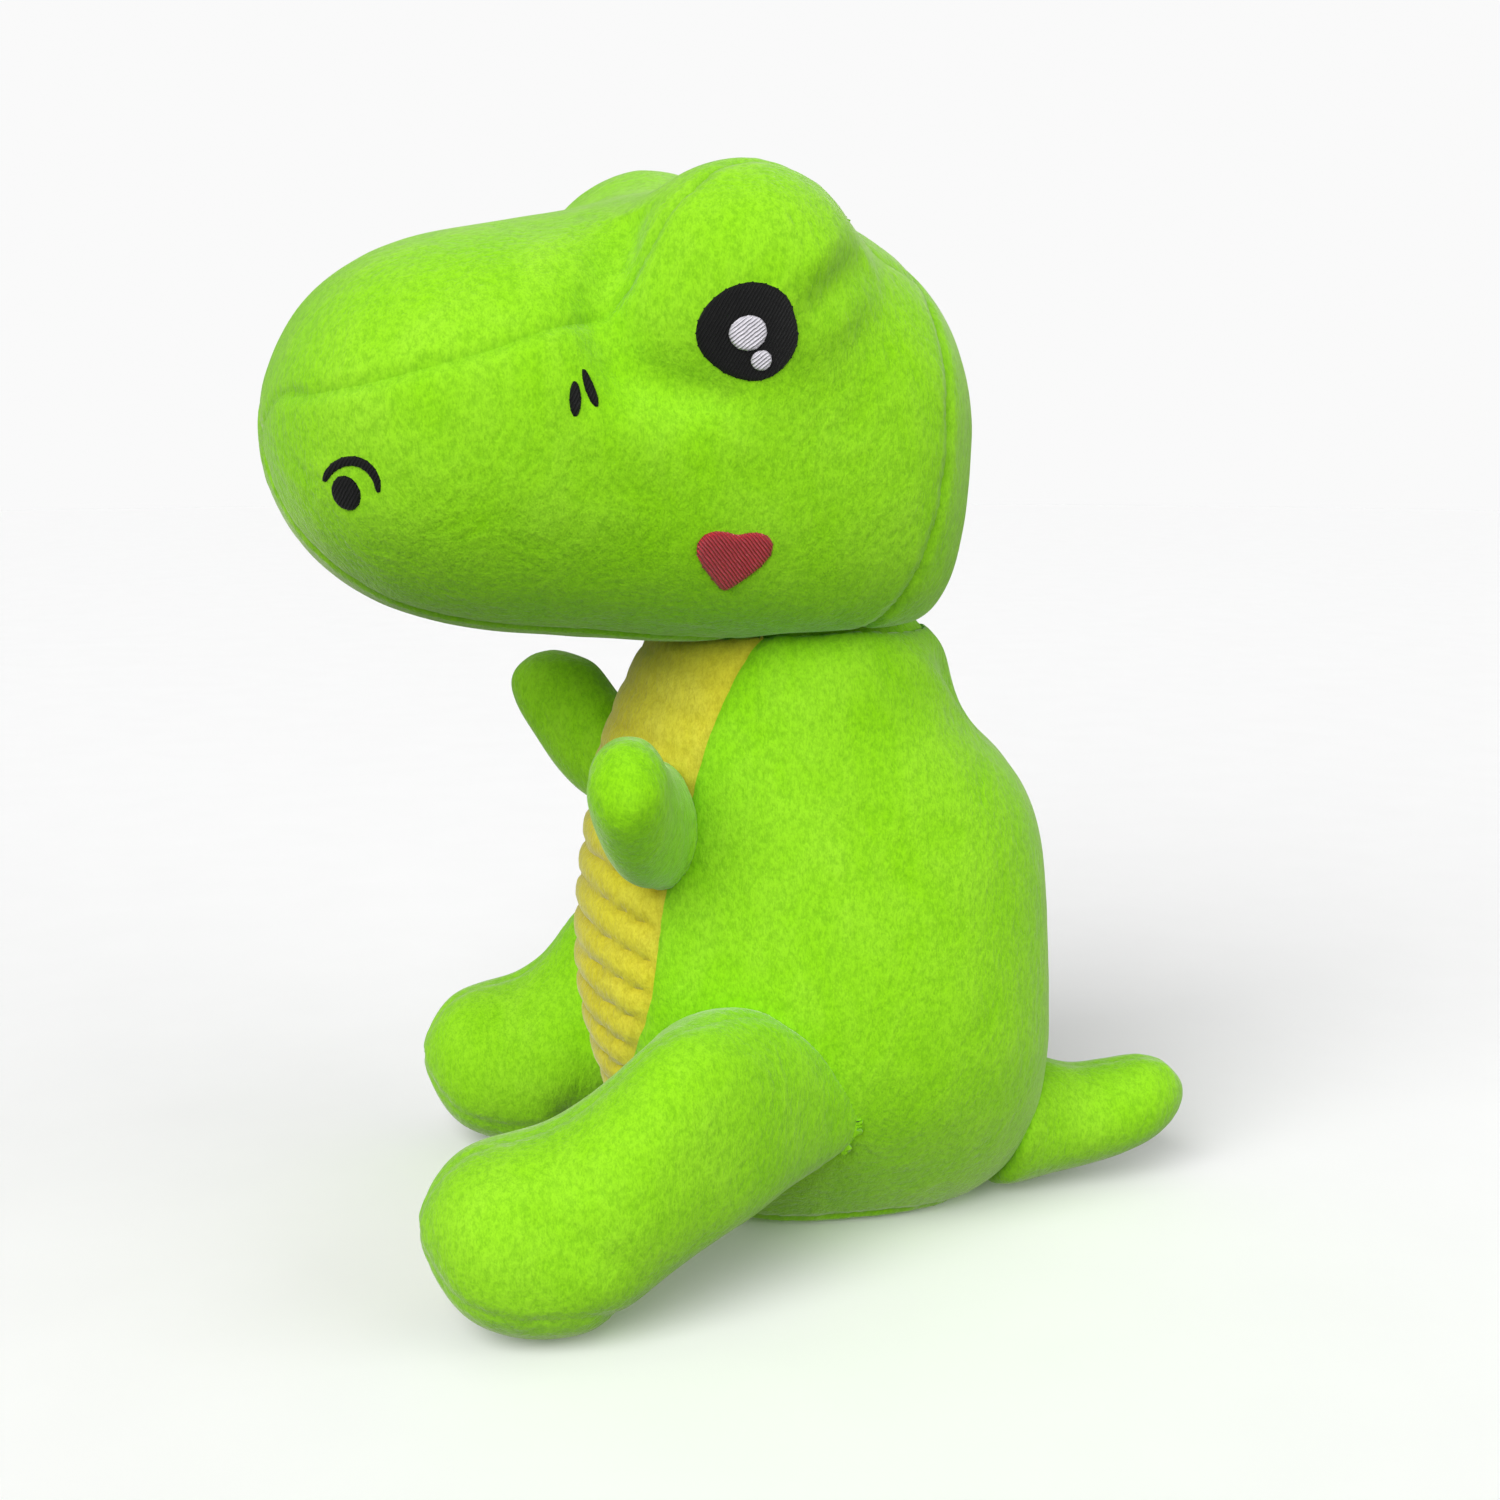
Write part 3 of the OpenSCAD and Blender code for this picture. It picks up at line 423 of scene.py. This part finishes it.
def ribs(o, index, pitch, depth):
    """Cross ribs of the belly panel: round ridges with narrow valleys that sag towards the sides, the valleys
    marked for painted shade.
    """
    mesh = o.data
    co, normal = points_of(mesh), normals_of(mesh)
    on = np.zeros(len(co), bool)
    for face in mesh.polygons:
        if face.material_index == index:
            on[list(face.vertices)] = True
    x, z = co[:, 0] / MM, co[:, 2] / MM
    sag = 4.5 * (x / 30) ** 2
    wave = (z + sag + 0.6 * wavy(co, 60.0, 2.0)) / pitch
    valley = 1 - np.abs(np.sin(math.pi * wave))
    fade = np.clip((138 - z) / 40, 0.25, 1)
    rim, _ = near(co, seam_line(mesh))
    fade = fade * np.clip(rim / (2.5 * MM), 0, 1)
    drop = depth * (valley**1.6) * fade * on
    set_points(mesh, co - normal * drop[:, None] * MM)
    # Painted shade in the ribs' valleys, for the material to darken
    mark_points(mesh, "rib_shade", valley**2 * fade * on)


def puff(o, rise, pressure=4.0, frames=20):
    """Cloth under inner pressure, held at its seams, and no point moves further than rise."""
    if rise <= 0:
        return
    mesh = o.data
    before = points_of(mesh)
    away, _ = near(before, seam_line(mesh))
    group = o.vertex_groups.new(name="held")
    for i, d in enumerate(away):
        hold = max(0.0, 1.0 - d / (5 * MM))
        if hold > 0:
            group.add([i], hold, "REPLACE")
    cloth = o.modifiers.new("cloth", "CLOTH")
    cloth.settings.use_pressure = True
    cloth.settings.uniform_pressure_force = pressure
    cloth.settings.effector_weights.gravity = 0
    cloth.settings.vertex_group_mass = "held"
    cloth.settings.quality = 4
    cloth.settings.tension_stiffness = 8
    cloth.settings.compression_stiffness = 8
    cloth.settings.bending_stiffness = 0.3
    cloth.point_cache.frame_start = 1
    cloth.point_cache.frame_end = frames
    scene = bpy.context.scene
    for f in range(1, frames + 1):
        scene.frame_set(f)
    got = o.evaluated_get(bpy.context.evaluated_depsgraph_get()).data
    after = points_of(got)
    o.modifiers.clear()
    scene.frame_set(1)
    moved = after - before
    length = np.linalg.norm(moved, axis=1, keepdims=True)
    moved *= rise / (rise + length)
    set_points(mesh, before + moved)
    o.vertex_groups.clear()


def sew(o, depth, reach, pucker, dark, seed):
    """Pulls the mesh in along its seams, unevenly, and marks them for the material to paint shade along."""
    mesh = o.data
    co, normal = points_of(mesh), normals_of(mesh)
    away, spot = near(co, seam_line(mesh))
    close = away < 12 * MM
    pull = np.zeros(len(co))
    uneven = np.zeros(len(co))
    uneven[close] = wavy(spot[close], 160.0, seed)
    pull[close] = depth * (1 + 0.5 * uneven[close]) * np.exp(-((away[close] / reach) ** 2))
    ripple = np.zeros(len(co))
    ripple[close] = wavy(spot[close], 420.0, seed + 5)
    pull[close] += pucker * ripple[close] * np.exp(-((away[close] / (4 * MM)) ** 2))
    set_points(mesh, co - normal * pull[:, None])
    # Painted shade along the seam's groove, for the material
    mark_points(mesh, "seam", dark * np.exp(-((away / (1.1 * MM)) ** 2)))


def line_through(places, step=1.0):
    """Points about a millimetre apart along a smooth line through places given in mm, with 0 to 1 along it."""
    p = np.array(places, float)
    found, along = [], []
    for i in range(len(p) - 1):
        before, after = p[max(i - 1, 0)], p[min(i + 2, len(p) - 1)]
        count = max(2, int(np.linalg.norm(p[i + 1] - p[i]) / step))
        for k in range(count):
            t = k / count
            m0, m1 = (p[i + 1] - before) / 2, (after - p[i]) / 2
            h = (2 * t**3 - 3 * t**2 + 1) * p[i] + (t**3 - 2 * t**2 + t) * m0
            h += (3 * t**2 - 2 * t**3) * p[i + 1] + (t**3 - t**2) * m1
            found.append(h * MM)
            along.append((i + t) / (len(p) - 1))
    return found, np.array(along)


def crease(o, places, depth, width, lip=0.0):
    """A fold pressed into the skin along a line through places in mm, fading to its ends."""
    mesh = o.data
    co, normal = points_of(mesh), normals_of(mesh)
    found, along = line_through(places)
    tree = KDTree(len(found))
    for i, q in enumerate(found):
        tree.insert(q, i)
    tree.balance()
    hits = [tree.find(q) for q in co]
    away = np.array([h[2] for h in hits]) / (width * MM)
    at = along[[h[1] for h in hits]]
    fade = np.sqrt(np.clip(np.sin(math.pi * np.clip(at, 0, 1)), 0, 1))
    shape = -depth * np.exp(-(away**2)) + lip * np.exp(-((away - 2.2) ** 2) / 0.8)
    set_points(mesh, co + normal * (shape * fade * MM)[:, None])


def swell(o, place, radius, rise):
    """A soft bulge of the stuffing round a place in mm."""
    mesh = o.data
    co, normal = points_of(mesh), normals_of(mesh)
    off = (co - np.array(place) * MM) / (radius * MM)
    share = np.exp(-(off**2).sum(1))
    set_points(mesh, co + normal * (share * rise * MM)[:, None])


def move(o, place, radius, shift):
    """Moves the skin near a place by a vector, all in mm, fading out."""
    mesh = o.data
    co = points_of(mesh)
    off = (co - np.array(place) * MM) / (radius * MM)
    share = np.exp(-(off**2).sum(1))
    set_points(mesh, co + share[:, None] * np.array(shift) * MM)


def sink_root(o, pivot, out, reach, depth, flare):
    """The sewn-on end of a limb goes a little way into the body and widens to meet its skin."""
    mesh = o.data
    co = points_of(mesh)
    out = np.array(out, float) / np.linalg.norm(out)
    w = co - np.array(pivot)
    h = w @ out
    side = w - h[:, None] * out
    far = np.linalg.norm(side, axis=1, keepdims=True) + 1e-9
    share = np.exp(-((np.clip(h, 0, None) / (reach * MM)) ** 2))[:, None]
    co = co - share * out * depth * MM + share * np.clip(far / (12 * MM), 0, 1) * flare * MM * side / far
    set_points(mesh, co)


# A limb's point behind the body's skin by less than this, in mm, is inside the body
DEEPEST_ROOT = 14


def outside(co, tree):
    """How far each point stands out of another body's skin, in mm, and that skin's normals."""
    hits = [tree.find_nearest(Vector(p)) for p in co]
    normal, away = np.array([h[1] for h in hits]), np.array([h[3] for h in hits]) / MM
    behind = ((co - np.array([h[0] for h in hits])) * normal).sum(1) < 0
    return np.where(behind & (away < DEEPEST_ROOT), -away, away), normal


def fillet(o, tree, reach, flare):
    """Spreads a limb's wall where it meets the body's skin, so that the two run into each other."""
    mesh = o.data
    co, normal = points_of(mesh), normals_of(mesh)
    out, under = outside(co, tree)
    across = normal - (normal * under).sum(1)[:, None] * under
    across /= np.linalg.norm(across, axis=1, keepdims=True) + 0.35
    share = (1 - np.clip(np.abs(out) / reach, 0, 1)) ** 2
    set_points(mesh, co + across * (share * flare * MM)[:, None])


def relax(o, tree, reach, times):
    """Smooths the skin near where it enters another body."""
    mesh = o.data
    co = points_of(mesh)
    away, _ = outside(co, tree)
    share = np.clip(1.3 - np.abs(away) / reach, 0, 1)[:, None]
    ends = np.zeros(len(mesh.edges) * 2, int)
    mesh.edges.foreach_get("vertices", ends)
    a, b = ends.reshape(-1, 2).T
    count = np.bincount(ends, minlength=len(co))[:, None]
    for _ in range(times):
        total = np.zeros_like(co)
        np.add.at(total, a, co[b])
        np.add.at(total, b, co[a])
        co = co + (total / count - co) * share * 0.6
    set_points(mesh, co)


def stretch(o, middle, scale, shift=(0, 0, 0)):
    """Scales the skin about a place in mm and shifts it."""
    co = points_of(o.data)
    middle = np.array(middle) * MM
    set_points(o.data, middle + (co - middle) * np.array(scale) + np.array(shift) * MM)


def lumps(o, height=0.35 * MM, scale=45.0, seed=3.0):
    """The stuffing's slight unevenness under the cloth."""
    mesh = o.data
    co, normal = points_of(mesh), normals_of(mesh)
    rise = height * wavy(co, scale, seed) + 0.4 * height * wavy(co, scale * 2.6, seed + 9)
    set_points(mesh, co + normal * rise[:, None])


CLOTH_T = 1.2 * MM
# An edge bent by more than this, in radians, is a cut edge and stays sharp
CUT_EDGE = 0.9


def sharpen(mesh):
    """Keeps the cut edge of a piece from rounding the shading of its face."""
    bm = bmesh.new()
    bm.from_mesh(mesh)
    for e in bm.edges:
        e.smooth = len(e.link_faces) == 2 and e.calc_face_angle() < CUT_EDGE
    bm.to_mesh(mesh)
    bm.free()


def panels_of(o, names, slots, body):
    """Splits the finished skin into one closed cloth piece for each panel."""
    made = []
    for index, name in enumerate(names):
        bm = bmesh.new()
        bm.from_mesh(o.data)
        bmesh.ops.delete(bm, geom=[f for f in bm.faces if f.material_index != index], context="FACES")
        for f in bm.faces:
            f.material_index = 0
            f.smooth = True
        piece = object_of(name + "_cloth", bm)
        piece.data.materials.clear()
        piece.data.materials.append(FINISH[slots[index]])
        thick = piece.modifiers.new("thick", "SOLIDIFY")
        thick.thickness = CLOTH_T
        thick.offset = -1
        apply_modifiers(piece)
        sharpen(piece.data)
        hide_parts(name)
        if body in BENDS and not name.startswith("sole"):
            start, way, length = BENDS[body]
            start = np.array(start) * MM
            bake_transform(piece)
        else:
            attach(piece, body)
        made.append(piece)
    bpy.data.objects.remove(o)
    return made


# ---------------------------------------------------------------- stuffed bodies

BODIES = {
    "torso": (["body_side_left", "body_side_right", "belly_panel", "base_panel"], "body_fill", 2.0),
    "head": (
        ["head_side_left", "head_side_right", "head_top_panel", "head_back_panel", "chin_panel"],
        "head_fill",
        2.0,
    ),
    "tail": (["tail_left", "tail_right"], "tail_fill", 1.0),
}
for side in ("left", "right"):
    BODIES["arm_" + side] = (["arm_upper_" + side, "arm_lower_" + side], "arm_fill_" + side, 1.0)
    BODIES["leg_" + side] = (
        ["leg_outer_" + side, "leg_inner_" + side, "sole_" + side],
        "leg_fill_" + side,
        1.5,
    )

pivots = {j["child"]: np.array(j["pos_m"]) for j in frame["joints"]}
axes = {j["child"]: np.array(j["axis"]) for j in frame["joints"]}
# Where a limb's cloth would start to follow the limb, the way it would go on, and over how many mm; this script
# does not bend the cloth
BENDS = {
    "arm_left": ((30, -31, 108), (0.78, -0.63, 0.0), 14),
    "arm_right": ((-30, -31, 108), (-0.78, -0.63, 0.0), 14),
    "leg_left": ((46, -22, 41), (0.5, -0.8, -0.25), 26),
    "leg_right": ((-46, -22, 41), (-0.5, -0.8, -0.25), 26),
    "tail": ((0, 74, 17), (0, 1, 0.1), 18),
}
SEAMS = {  # depth, reach and pucker of the seams in mm, and how much painted shade darkens them
    "torso": (0.9, 1.7, 0.30, 0.8),
    "head": (0.9, 1.5, 0.25, 0.9),
    "tail": (0.3, 1.6, 0.20, 0.2),
    "arm": (0.2, 1.6, 0.15, 0.1),
    "leg": (0.4, 1.8, 0.25, 0.25),
}


def shape_torso(o):
    co = points_of(o.data)
    rise = np.clip((co[:, 2] / MM - 128) / 16, 0, 1)
    front = np.clip((-5 - co[:, 1] / MM) / 20, 0, 1)
    behind = np.clip((co[:, 1] / MM - 15) / 20, 0, 1)
    co[:, 2] += rise**2 * (3 - 2 * rise) * (4 - 2.2 * front - 1.5 * behind) * MM
    set_points(o.data, co)
    for s in (1, -1):
        fold = [(s * 30, 6, 149), (s * 22, 28, 145), (s * 16, 41, 141), (s * 12, 47, 133), (s * 10, 54, 124)]
        crease(o, fold, 2.2, 3.5, 0.8)
        crease(o, [(s * 34, 12, 145), (s * 27, 26, 138), (s * 22, 36, 128), (s * 18, 44, 118)], 1.0, 4.0, 0.3)
    ribs(o, 2, 8.2, 1.8)


# The head sits on the neck a little turned and tipped
HEAD_TURN = Euler((0, math.radians(4), math.radians(9))).to_matrix()


def across_head(places):
    """The same places, in mm, on the other side of the turned head."""
    centre = Vector(pivots["head"] / MM)
    found = []
    for p in places:
        own = HEAD_TURN.inverted() @ (Vector(p) - centre)
        own.x = -own.x
        found.append(tuple(HEAD_TURN @ own + centre))
    return found


def shape_head(o):
    lobe = [(56, -16, 234)]
    front = [(46, -36, 245), (54, -42, 236), (60, -46, 226), (64, -44, 219)]
    front += [(67, -40, 213), (68, -32, 209), (67, -22, 207)]
    under = [(60, -46, 226), (64, -45, 221), (66, -41, 215), (67, -34, 211), (67, -25, 208), (66, -18, 207)]
    dart = [(56, 13, 237), (63, 6, 233), (67, 1, 229), (69, -4, 225)]
    for turn in (list, across_head):
        swell(o, turn(lobe)[0], 20, 2.5)
        crease(o, turn(front), 5.0, 6.5, 0.6)
        crease(o, turn(front[:4]), 1.0, 3.0, 0.3)
        crease(o, turn(under), 1.8, 3.0)
        crease(o, turn(dart), 2.0, 3.5, 0.6)


def shape_leg(o, side):
    s = 1 if side == "left" else -1
    if side == "right":
        stretch(o, (-44, -15, 0), (1, 0.93, 1))
        move(o, (-56, -32, 66), 18, (0, -4, 3))
    sink_root(o, pivots["leg_" + side], -s * axes["leg_" + side], 12.0, 9.0, 0.0)
    crease(o, [(s * 74, -55, 45), (s * 79, -60, 36), (s * 80, -54, 28), (s * 77, -46, 20)], 2.0, 5.0)
    fillet(o, torso_tree, 16.0, 8.0)
    relax(o, torso_tree, 9.0, 30)


def shape_arm(o, side):
    out = np.cross(axes["arm_" + side], (0, 0, 1))
    if side == "left":
        stretch(o, (45, -37, 106), (1, 0.82, 1.15))
    else:
        stretch(o, (-45, -34, 106), (1, 0.95, 1), (0, 0, 2))
        move(o, (-60, -54, 134), 22, (0, -4, 0))
    sink_root(o, pivots["arm_" + side], out, 14.0, 9.0, 0.5)
    fillet(o, torso_tree, 5.0, 2.0)


def shape_tail(o):
    sink_root(o, pivots["tail"] + np.array((0, 0.004, 0)), (0, 1, 0.0), 12.0, 14.0, 0.0)
    fillet(o, torso_tree, 16.0, 7.0)
    relax(o, torso_tree, 9.0, 20)


for body, (panels, fill, rise) in BODIES.items():
    skin = object_of(body + "_skin", skin_of(panels, fill))
    smoother(skin, 2)
    puff(skin, rise * MM)
    smoother(skin, 1)
    kind = body.split("_")[0]
    side = body.split("_")[-1]
    if kind == "torso":
        shape_torso(skin)
    elif kind == "head":
        shape_head(skin)
    elif kind == "leg":
        shape_leg(skin, side)
    elif kind == "arm":
        shape_arm(skin, side)
    else:
        shape_tail(skin)
    lumps(skin, seed=len(body))
    depth, reach, pucker, dark = SEAMS[kind]
    sew(skin, depth * MM, reach * MM, pucker * MM, dark, len(body) * 1.3)
    if body == "head":
        head_tree = tree_of(skin.data)
    if body == "torso":
        torso_tree = tree_of(skin.data)
    slots = ["belly_velboa" if p == "belly_panel" else "plush" for p in panels]
    made = panels_of(skin, panels, slots, body)
    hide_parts(fill)

# ---------------------------------------------------------------- neck

NECK_TURNS = 96
# radius, height and shift to the back of the neck's soft roll and the ball cap inside the head, in mm
NECK = [
    (29, 140, 0), (33, 144, 1.5), (33, 148, 1.5), (32.5, 151, 1.5), (30.5, 154, 0.5),
    (28, 157, 0), (26, 159, 0), (20, 162, 0), (10, 164.5, 0), (0.5, 165.5, 0),
]
bm = bmesh.new()
axis_y = pivots["head"][1]
rows = []
for r, z, back in NECK:
    row = []
    for k in range(NECK_TURNS):
        a = 2 * math.pi * k / NECK_TURNS
        y = axis_y + (back - r * math.cos(a)) * MM
        row.append(bm.verts.new((r * MM * math.sin(a), y, z * MM)))
    rows.append(row)
for low, high in zip(rows, rows[1:]):
    for k in range(NECK_TURNS):
        n = (k + 1) % NECK_TURNS
        bm.faces.new((low[k], low[n], high[n], high[k]))
bm.faces.new(rows[-1])
neck = object_of("neck_skin_cloth", bm)
smooth_shaded(neck.data)
smoother(neck, 1)
lumps(neck, 0.4 * MM, 60.0, 7.0)
neck.data.materials.append(LIME)
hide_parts("neck_skin", "neck_fill")
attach(neck, "neck")

# ---------------------------------------------------------------- embroidery


def distance_to_rim(mesh):
    """How far each vertex of the patch's face lies inside its outline."""
    count = {}
    for face in mesh.polygons:
        for key in face.edge_keys:
            count[key] = count.get(key, 0) + 1
    rim = [key for key, n in count.items() if n == 1]
    ends = []
    for a, b in rim:
        p, q = mesh.vertices[a].co, mesh.vertices[b].co
        ends += [p, p.lerp(q, 0.25), p.lerp(q, 0.5), p.lerp(q, 0.75)]
    return near(points_of(mesh), ends)[0]


def embroider(node, tree, slot, rise, edge, levels=3, base=0.0):
    """The patch's face, smoothed and laid on the finished skin, crowned from its rim."""
    bm = welded(node)
    joined(bm, False)
    bmesh.ops.recalc_face_normals(bm, faces=bm.faces)
    inner = [f for f in bm.faces if f.normal.dot(tree.find_nearest(f.calc_center_median())[1]) < 0.5]
    bmesh.ops.delete(bm, geom=inner, context="FACES")
    o = object_of(node + "_stitched", bm)
    smoother(o, levels)
    mesh = o.data
    inside = distance_to_rim(mesh)
    co = points_of(mesh)
    laid = []
    for p, d in zip(co, inside):
        spot, n, _, _ = tree.find_nearest(Vector(p))
        t = min(1.0, d / (edge * MM))
        crown = math.sqrt(max(0.0, 1 - (1 - t) ** 2))
        laid.append(spot + n * ((base - 0.25 + rise * crown) * MM))
    set_points(mesh, np.array(laid))
    smooth_shaded(mesh)
    mesh.materials.clear()
    mesh.materials.append(FINISH[slot])
    thick = o.modifiers.new("thick", "SOLIDIFY")
    thick.thickness = 0.8 * MM
    thick.offset = -1
    apply_modifiers(o)
    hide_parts(node)
    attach(o, "head")
    return o


for side in ("left", "right"):
    embroider("eye_disc_" + side, head_tree, "embroidery_black", 0.9, 1.6)
    embroider("eye_highlights_" + side, head_tree, "embroidery_silver", 0.8, 1.0, base=0.8)
    embroider("brow_marks_" + side, head_tree, "embroidery_black", 0.9, 1.0)
    embroider("nostril_" + side, head_tree, "embroidery_black", 0.9, 1.2)
    embroider("nostril_arc_" + side, head_tree, "embroidery_black", 0.8, 0.8)
    embroider("cheek_heart_" + side, head_tree, "embroidery_red", 1.1, 1.6)

# The hand-sewn stitches of the closing slit lie on the finished skin
bm = welded("closing_stitches")
left = set(bm.verts)
while left:
    island, edge = set(), [left.pop()]
    while edge:
        v = edge.pop()
        island.add(v)
        edge += [w for e in v.link_edges for w in e.verts if w in left]
        left.difference_update(edge)
    middle = sum((v.co for v in island), Vector()) / len(island)
    spot, out, _, _ = torso_tree.find_nearest(middle)
    for v in island:
        v.co += spot + out * 0.3 * MM - middle
stitches = object_of("closing_stitches_sewn", bm)
smooth_shaded(stitches.data)
smoother(stitches, 1)
stitches.data.materials.clear()
stitches.data.materials.append(THREAD)
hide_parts("closing_stitches")
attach(stitches, "torso")
